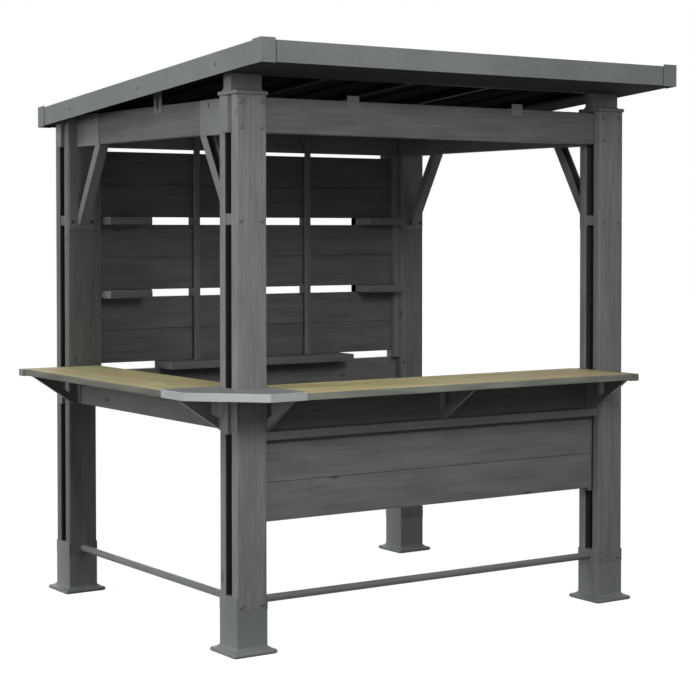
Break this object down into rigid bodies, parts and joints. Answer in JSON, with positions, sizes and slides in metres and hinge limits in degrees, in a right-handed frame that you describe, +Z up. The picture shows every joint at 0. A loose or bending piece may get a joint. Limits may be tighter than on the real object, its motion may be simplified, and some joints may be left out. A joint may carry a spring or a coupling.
{
  "type": "bar gazebo",
  "caption": "Small open bar gazebo with sandwich timber posts on steel feet, a mono-pitch steel roof, an L-shaped counter, a slatted back wall with shelves and foot rails.",
  "frame": {"origin": "middle of the bounding box at ground level", "axes": "+Z up, +X to the right as a customer at the long counter sees it, -Y towards that customer, +Y to the back wall"},
  "size_m": [2.374, 2.058, 2.4563],
  "materials": {
    "stained_wood": "charcoal grey stain, satin",
    "coated_steel": "powder coated, satin",
    "counter_wood": "oiled, matt",
    "corner_plate": "light grey, satin"
  },
  "bodies": {
    "root": {"post_front_left": "stained_wood", "post_front_right": "stained_wood", "post_back_left": "stained_wood", "post_back_right": "stained_wood", "feet": "coated_steel", "front_post_caps": "coated_steel", "front_beam": "stained_wood", "back_beam": "stained_wood", "left_beam": "stained_wood", "right_beam": "stained_wood", "beam_end_caps": "coated_steel", "brace_front_left": "coated_steel", "brace_back_left": "coated_steel", "brace_front_right": "coated_steel", "brace_back_right": "coated_steel", "roof_header": "coated_steel", "roof_rafters": "coated_steel", "roof_sheet": "coated_steel", "fascia_front": "coated_steel", "fascia_back": "coated_steel", "fascia_left": "coated_steel", "fascia_right": "coated_steel", "roof_corner_caps": "coated_steel", "roof_clips": "coated_steel", "counter_front": "counter_wood", "counter_left": "counter_wood", "counter_corner": "corner_plate", "counter_end_cleats": "counter_wood", "front_counter_brackets": "coated_steel", "left_counter_brackets": "coated_steel", "front_rail": "stained_wood", "back_rail": "stained_wood", "left_rail": "stained_wood", "front_panel": "stained_wood", "front_panel_battens": "stained_wood", "foot_rail_front": "coated_steel", "foot_rail_left": "coated_steel", "wall_panel_top": "stained_wood", "wall_panel_middle": "stained_wood", "wall_panel_bottom": "stained_wood", "wall_battens": "stained_wood", "wall_end_battens": "stained_wood", "shelves_upper": "stained_wood", "shelves_lower": "stained_wood", "shelf_long": "stained_wood"}
  },
  "joints": []
}
